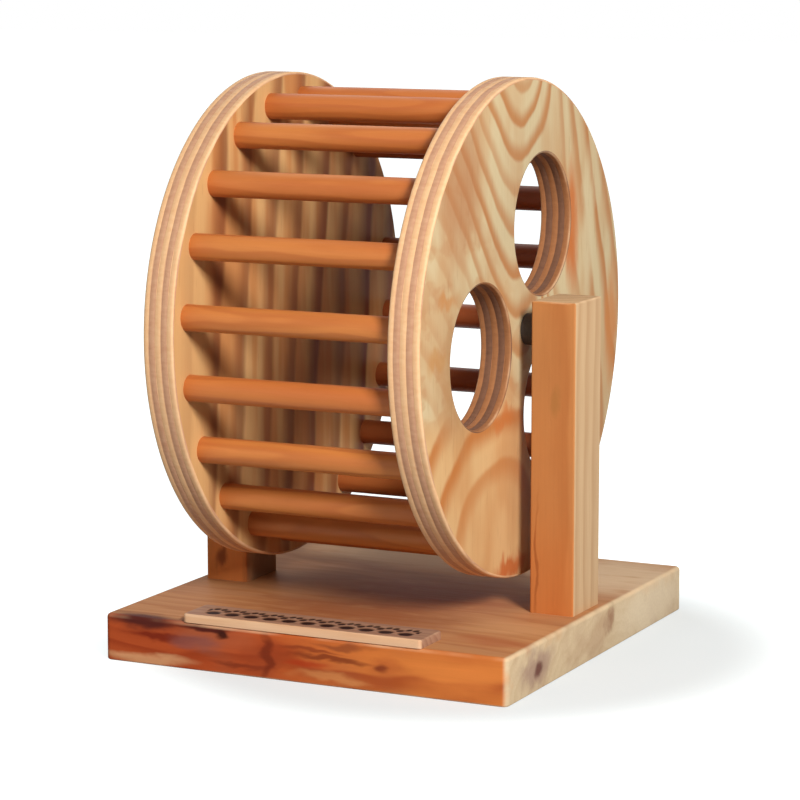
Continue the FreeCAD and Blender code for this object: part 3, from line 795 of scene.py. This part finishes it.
steel = new_turned("drawn_steel", (205, 205, 202), (150, 150, 150), 1.0, 0.25, (3.0, 0.4, 0.4))
zinc = new_turned("zinc_plate", (208, 202, 176), (160, 156, 140), 1.0, 0.3, (0.8, 0.8, 0.8))
brass = new_turned("turned_brass", (214, 182, 112), (160, 126, 70), 1.0, 0.3, (3.0, 0.4, 0.4))
nylon = new_turned("dark_nylon", (62, 48, 40), (36, 28, 24), 0.0, 0.5, (1.0, 0.8, 0.8))

DRESSED = {"axle": steel, "bush": brass, "spacer": nylon, "screw": zinc}
for node, piece in frame["nodes"].items():
    kind = node.split("_")[0]
    if kind in DRESSED:
        piece.data.materials.clear()
        piece.data.materials.append(DRESSED[kind])


# ---- The name plate ----------------------------------------------------------------------------
# A thin slip of pale wood glued along the front of the board, with a row of plain paw prints
# burnt lightly into its top.

PLATE_CORNER = 1.6
PLATE_ROUND = 0.6
PLATE_GRID = 0.35
BURN_DEPTH = 0.3
PAW_COUNT = 11
PAW_PITCH = 8.0
PAW_SIZE = 3.0
PAD_DROP = 0.75
PAD_DEPTH = 0.85
PAW_TOES = ((-1.25, 0.55), (-0.48, 1.25), (0.48, 1.25), (1.25, 0.55))
TOE_WIDTH = 0.42
TOE_LENGTH = 0.58
SCORCH_REACH = 1.15
SCORCH_FADE = 0.35

low, high = corners_of("name_plate")
plate_middle = ((low[0] + high[0]) / 2, (low[1] + high[1]) / 2)


def burnt(x, y):
    """How far the iron burnt a place on the plate, from 0 to 1."""
    column = round((x - plate_middle[0]) / PAW_PITCH)
    if abs(column) > PAW_COUNT // 2:
        return 0
    right = (x - plate_middle[0] - column * PAW_PITCH) / PAW_SIZE
    up = (y - plate_middle[1]) / PAW_SIZE
    reach = math.hypot(right, (up + PAD_DROP) / PAD_DEPTH)
    for toe_x, toe_y in PAW_TOES:
        reach = min(reach, math.hypot((right - toe_x) / TOE_WIDTH, (up - toe_y) / TOE_LENGTH))
    return min(max((SCORCH_REACH - reach) / SCORCH_FADE, 0), 1)


plate_sanded, tree, place, (x, y, z) = new_wood("plate_sanded")
rings = use_group(tree, growth_rings, {
    "Place": place, "Heart": (0, -110, -10), "Ring Width": 3.4, "Wander": 8})
fibres = use_group(tree, wood_fibres, {"Place": place, "Fineness": 1.2})
share = work_out(tree, "MULTIPLY", rings["Latewood"], 0.5)
top = blend(tree, share, paint(170, 128, 102), paint(136, 94, 72))
edge_on = blend(tree, share, paint(228, 184, 146), paint(210, 156, 112))
colour = blend(tree, ease(tree, y, -82.6, -83.6), top, edge_on)
colour = tint(tree, colour, fibres["Fibre"], 0.2, (130, 90, 66))
scorch = tree.nodes.new("ShaderNodeAttribute")
scorch.attribute_name = "burn"
colour = blend(tree, scorch.outputs["Fac"], colour, paint(42, 20, 16))
finish_wood(tree, colour, fibres["Fibre"], rings["Latewood"], place)

bm = bmesh.new()
bm.verts.layers.float.new("burn")
bm.verts.layers.float.new("edge")
burn = bm.verts.layers.float.get("burn")
edge = bm.verts.layers.float.get("edge")
columns = round((high[0] - low[0]) / PLATE_GRID)
rows = round((high[1] - low[1]) / PLATE_GRID)
half_x = (high[0] - low[0]) / 2
half_y = (high[1] - low[1]) / 2


def plate_point(column, row):
    """A point of the plate's top, pulled in at the round corners, and its way in from the side."""
    x = (2 * column / columns - 1) * half_x
    y = (2 * row / rows - 1) * half_y
    past_x = max(abs(x) - (half_x - PLATE_CORNER), 0)
    past_y = max(abs(y) - (half_y - PLATE_CORNER), 0)
    past = math.hypot(past_x, past_y)
    if past > PLATE_CORNER:
        x = math.copysign(half_x - PLATE_CORNER + past_x * PLATE_CORNER / past, x)
        y = math.copysign(half_y - PLATE_CORNER + past_y * PLATE_CORNER / past, y)
        past = PLATE_CORNER
    inside = PLATE_CORNER - past
    return x + plate_middle[0], y + plate_middle[1], inside


grid = []
for row in range(rows + 1):
    line = []
    for column in range(columns + 1):
        x, y, inside = plate_point(column, row)
        missing = max(PLATE_ROUND - inside, 0) / PLATE_ROUND
        drop = PLATE_ROUND * (1 - math.sqrt(max(1 - missing * missing, 0)))
        dent = burnt(x, y)
        vertex = bm.verts.new((x * MM, y * MM, (high[2] - drop - BURN_DEPTH * dent) * MM))
        vertex[burn] = dent
        vertex[edge] = 0.5 if 0 < missing < 1 else 0
        line.append(vertex)
    grid.append(line)
join_rings(bm, grid, closed=False)
right_side = [line[-1] for line in grid[1:]]
left_side = [line[0] for line in grid[-2:0:-1]]
border = grid[0] + right_side + grid[-1][-2::-1] + left_side
foot =[bm.verts.new((v.co.x, v.co.y, low[2] * MM)) for v in border]
join_rings(bm, [border, foot])
bm.faces.new(foot)
put_in_place(bm, "plate", "stand", ["name_plate"], [plate_sanded])


# ---- The floor, the light and the camera -------------------------------------------------------
# A white sheet under and behind the wheel, a main lamp at the front right, weak wide lamps at the
# left and behind, and a long lens a metre away.

FLOOR_REACH = 6.0
SHEET_GREY = (0.4, 0.4, 0.4, 1)
SHEET_BLUISH_GLOW = (0.94, 1, 1, 1)
SHADE_MIDDLE = (0.025, 0, 0)
SHADE_REACH = 0.1
SHADE_END = 0.16
SHADE_GLOW = 0.5
OPEN_GLOW = 1.1
STUDIO_WARM = (1, 0.82, 0.66, 1)
STUDIO_WHITE = (1, 1, 1, 1)
STUDIO_LEVEL = 0.1
LENS = 134.9
CAMERA_AT = Vector((0.5016, -1.0366, 0.2745))
CAMERA_AIM = Vector((0.0071, -0.0138, 0.0962))


def seen_white(tree):
    """1 where the camera, a gloss or clear stuff sees the surroundings, 0 where they only light."""
    rays = tree.nodes.new("ShaderNodeLightPath").outputs
    seen = work_out(tree, "MAXIMUM", rays["Is Camera Ray"], rays["Is Glossy Ray"])
    return work_out(tree, "MAXIMUM", seen, rays["Is Transmission Ray"])


white_sheet = bpy.data.materials.new("white_sheet")
white_sheet.use_nodes = True
tree = white_sheet.node_tree
shader = tree.nodes["Principled BSDF"]
shader.inputs["Base Color"].default_value = SHEET_GREY
shader.inputs["Roughness"].default_value = 0.9
shader.inputs["Specular IOR Level"].default_value = 0.0
# The sheet glows white for the camera and for gloss. The glow is full away from the wheel and
# weaker within SHADE_END of it, so real shadows show there. The weaker, bluish glow also paints a
# faint grey-blue shade all round the wheel.
spot = tree.nodes.new("ShaderNodeTexCoord").outputs["Object"]
spot = work_out_vector(tree, "SUBTRACT", spot, SHADE_MIDDLE)
away = ease(tree, work_out_vector(tree, "LENGTH", spot), SHADE_REACH, SHADE_END)
glow = work_out(tree, "MULTIPLY_ADD", away, OPEN_GLOW - SHADE_GLOW, SHADE_GLOW)
glow = work_out(tree, "MULTIPLY", seen_white(tree), glow)
shader.inputs["Emission Color"].default_value = SHEET_BLUISH_GLOW
feed(tree, shader.inputs["Emission Strength"], glow)

bm = bmesh.new()
corners = ((-1, -1), (1, -1), (1, 1), (-1, 1))
bm.faces.new([bm.verts.new((x * FLOOR_REACH, y * FLOOR_REACH, 0)) for x, y in corners])
mesh = bpy.data.meshes.new("floor")
bm.to_mesh(mesh)
bm.free()
mesh.materials.append(white_sheet)
floor = bpy.data.objects.new("floor", mesh)
bpy.context.scene.collection.objects.link(floor)
floor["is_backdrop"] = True

world = bpy.data.worlds.new("studio")
bpy.context.scene.world = world
world.use_nodes = True
tree = world.node_tree
backdrop = tree.nodes["Background"]
seen = seen_white(tree)
level = work_out(tree, "MULTIPLY_ADD", seen, 1 - STUDIO_LEVEL, STUDIO_LEVEL)
feed(tree, backdrop.inputs["Strength"], level)
feed(tree, backdrop.inputs["Color"], blend(tree, seen, STUDIO_WARM, STUDIO_WHITE))

LAMPS = (
    # name, place, size, watts
    ("lamp_right", (0.88, -0.76, 0.72), 0.32, 20.5),
    ("lamp_left", (-0.5, -1.2, 0.5), 0.9, 2.2),
    ("lamp_back", (-0.9, 0.8, 1.0), 0.9, 4),
)
for name, at, size, watts in LAMPS:
    lamp = bpy.data.lights.new(name, "AREA")
    lamp.energy = watts
    lamp.size = size
    holder = bpy.data.objects.new(name, lamp)
    holder.location = at
    holder.rotation_euler = (Vector(at) - CAMERA_AIM).to_track_quat("Z", "Y").to_euler()
    bpy.context.scene.collection.objects.link(holder)

camera = bpy.data.cameras.new("camera")
camera.lens = LENS
camera_holder = bpy.data.objects.new("camera", camera)
camera_holder.location = CAMERA_AT
camera_holder.rotation_euler = (CAMERA_AT - CAMERA_AIM).to_track_quat("Z", "Y").to_euler()
bpy.context.scene.collection.objects.link(camera_holder)
bpy.context.scene.camera = camera_holder
bpy.context.scene.view_settings.view_transform = "Standard"

low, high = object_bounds()
